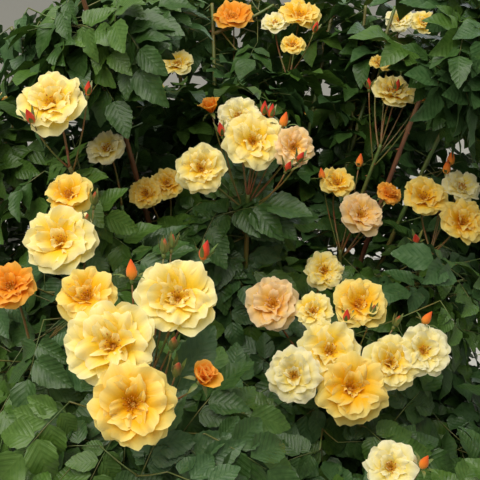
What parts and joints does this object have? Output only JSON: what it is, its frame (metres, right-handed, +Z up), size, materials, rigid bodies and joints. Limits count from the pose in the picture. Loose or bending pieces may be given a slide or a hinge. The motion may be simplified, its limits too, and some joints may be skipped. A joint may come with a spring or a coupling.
{
  "type": "rose bush",
  "caption": "Rounded shrub rose in full flower: woody base, arching canes, low side shoots, and masses of pinnate leaves and double yellow blooms.",
  "frame": {"origin": "middle of the flat cut under the woody base, at ground level", "axes": "+Z up; -Y is the side the picture is taken from; +X is to the viewer's right"},
  "size_m": [1.2246, 1.2448, 1.4473],
  "materials": {
    "wood": "rough grey-brown bark",
    "cane": "smooth green-brown cane skin",
    "foliage": "leaves with a waxy sheen, soft yellow petals"
  },
  "bodies": {
    "root": {"cane_back": "cane", "cane_back_low": "cane", "cane_back_right": "cane", "cane_back_top": "cane", "cane_centre": "cane", "cane_front": "cane", "cane_front_far_left": "cane", "cane_front_left": "cane", "cane_front_right": "cane", "cane_left": "cane", "cane_left_back": "cane", "cane_left_middle": "cane", "cane_left_top": "cane", "cane_right": "cane", "cane_right_back": "cane", "cane_right_far": "cane", "cane_right_front": "cane", "cane_tall_left": "cane", "cane_tall_right": "cane", "mass_back": "foliage", "mass_back_low": "foliage", "mass_back_right": "foliage", "mass_back_top": "foliage", "mass_centre": "foliage", "mass_front": "foliage", "mass_front_far_left": "foliage", "mass_front_left": "foliage", "mass_front_right": "foliage", "mass_left": "foliage", "mass_left_back": "foliage", "mass_left_middle": "foliage", "mass_left_top": "foliage", "mass_low_1": "foliage", "mass_low_2": "foliage", "mass_low_3": "foliage", "mass_low_4": "foliage", "mass_low_5": "foliage", "mass_low_6": "foliage", "mass_low_7": "foliage", "mass_right": "foliage", "mass_right_back": "foliage", "mass_right_far": "foliage", "mass_right_front": "foliage", "mass_tall_left": "foliage", "mass_tall_right": "foliage", "side_shoot_1": "cane", "side_shoot_2": "cane", "side_shoot_3": "cane", "side_shoot_4": "cane", "side_shoot_5": "cane", "side_shoot_6": "cane", "side_shoot_7": "cane", "woody_base": "wood"}
  },
  "joints": []
}
